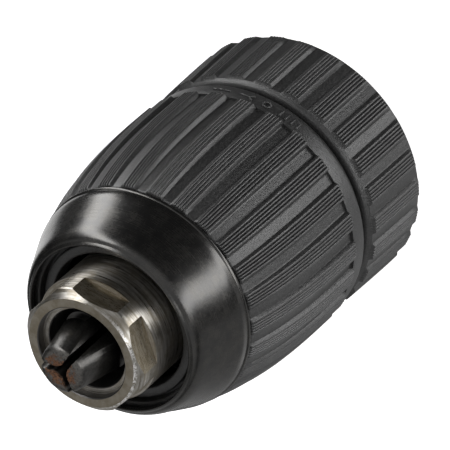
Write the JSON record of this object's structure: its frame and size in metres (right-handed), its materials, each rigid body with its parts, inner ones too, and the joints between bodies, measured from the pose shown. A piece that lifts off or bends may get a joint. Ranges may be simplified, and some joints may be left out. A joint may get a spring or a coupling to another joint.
{
  "type": "keyless drill chuck",
  "caption": "Keyless drill chuck with a hexagonal steel nose, three converging jaws, a steel nose cone and two ribbed plastic grip sleeves.",
  "frame": {"origin": "centre of the flat rear face of the chuck body, on the chuck's axis", "axes": "+Z along the chuck's axis from the rear face to the nose and the jaws; +Y towards the first jaw"},
  "size_m": [0.043, 0.043, 0.0688],
  "materials": {
    "machined_steel": "turned and milled, bright",
    "jaw_steel": "hardened, dark, worn at the tips",
    "nut_steel": "turned",
    "bearing_steel": "ground and polished",
    "spring_steel": "rolled",
    "cap_steel": "dark satin",
    "grip_plastic": "fine-grained matte",
    "cage_plastic": "matte"
  },
  "bodies": {
    "chuck_body": {"chuck_body": "machined_steel", "rear_sleeve": "grip_plastic", "sleeve_snap_ring": "spring_steel", "ratchet_race": "bearing_steel"},
    "nut": {"nut_half_a": "nut_steel", "nut_half_b": "nut_steel", "nut_band": "spring_steel", "front_race": "bearing_steel", "lock_spring": "spring_steel"},
    "front_sleeve": {"front_sleeve": "grip_plastic", "nose_cap": "cap_steel"},
    "ball_ring": {"ball_cage": "cage_plastic", "ball_01": "bearing_steel", "ball_02": "bearing_steel", "ball_03": "bearing_steel", "ball_04": "bearing_steel", "ball_05": "bearing_steel", "ball_06": "bearing_steel", "ball_07": "bearing_steel", "ball_08": "bearing_steel", "ball_09": "bearing_steel", "ball_10": "bearing_steel", "ball_11": "bearing_steel", "ball_12": "bearing_steel", "ball_13": "bearing_steel", "ball_14": "bearing_steel", "ball_15": "bearing_steel", "ball_16": "bearing_steel"},
    "jaw_1": {"jaw_1": "jaw_steel"},
    "jaw_2": {"jaw_2": "jaw_steel"},
    "jaw_3": {"jaw_3": "jaw_steel"}
  },
  "joints": [
    {"name": "nut_spin", "type": "hinge", "parent": "chuck_body", "child": "nut", "pos_m": [0, 0, 0.0345], "axis": [0, 0, 1], "range_deg": [-180, 3990]},
    {"name": "lock_turn", "type": "hinge", "parent": "nut", "child": "front_sleeve", "pos_m": [0, 0, 0.0345], "axis": [0, 0, 1], "range_deg": [-24, 0]},
    {"name": "ball_ring_spin", "type": "hinge", "parent": "chuck_body", "child": "ball_ring", "pos_m": [0, 0, 0.0275], "axis": [0, 0, 1], "range_deg": [-91, 1996]},
    {"name": "jaw_1_slide", "type": "slide", "parent": "chuck_body", "child": "jaw_1", "axis": [0, 0.225, -0.9744], "range_m": [-0.00115, 0.02445]},
    {"name": "jaw_2_slide", "type": "slide", "parent": "chuck_body", "child": "jaw_2", "axis": [0.1948, -0.1125, -0.9744], "range_m": [-0.00115, 0.02445]},
    {"name": "jaw_3_slide", "type": "slide", "parent": "chuck_body", "child": "jaw_3", "axis": [-0.1948, -0.1125, -0.9744], "range_m": [-0.00115, 0.02445]}
  ],
  "couplings": [
    {"joint": "ball_ring_spin", "follows": "nut_spin", "ratio": 0.5},
    {"joint": "jaw_1_slide", "follows": "nut_spin", "m_per_rad": 0.00035014},
    {"joint": "jaw_2_slide", "follows": "nut_spin", "m_per_rad": 0.00035014},
    {"joint": "jaw_3_slide", "follows": "nut_spin", "m_per_rad": 0.00035014}
  ]
}
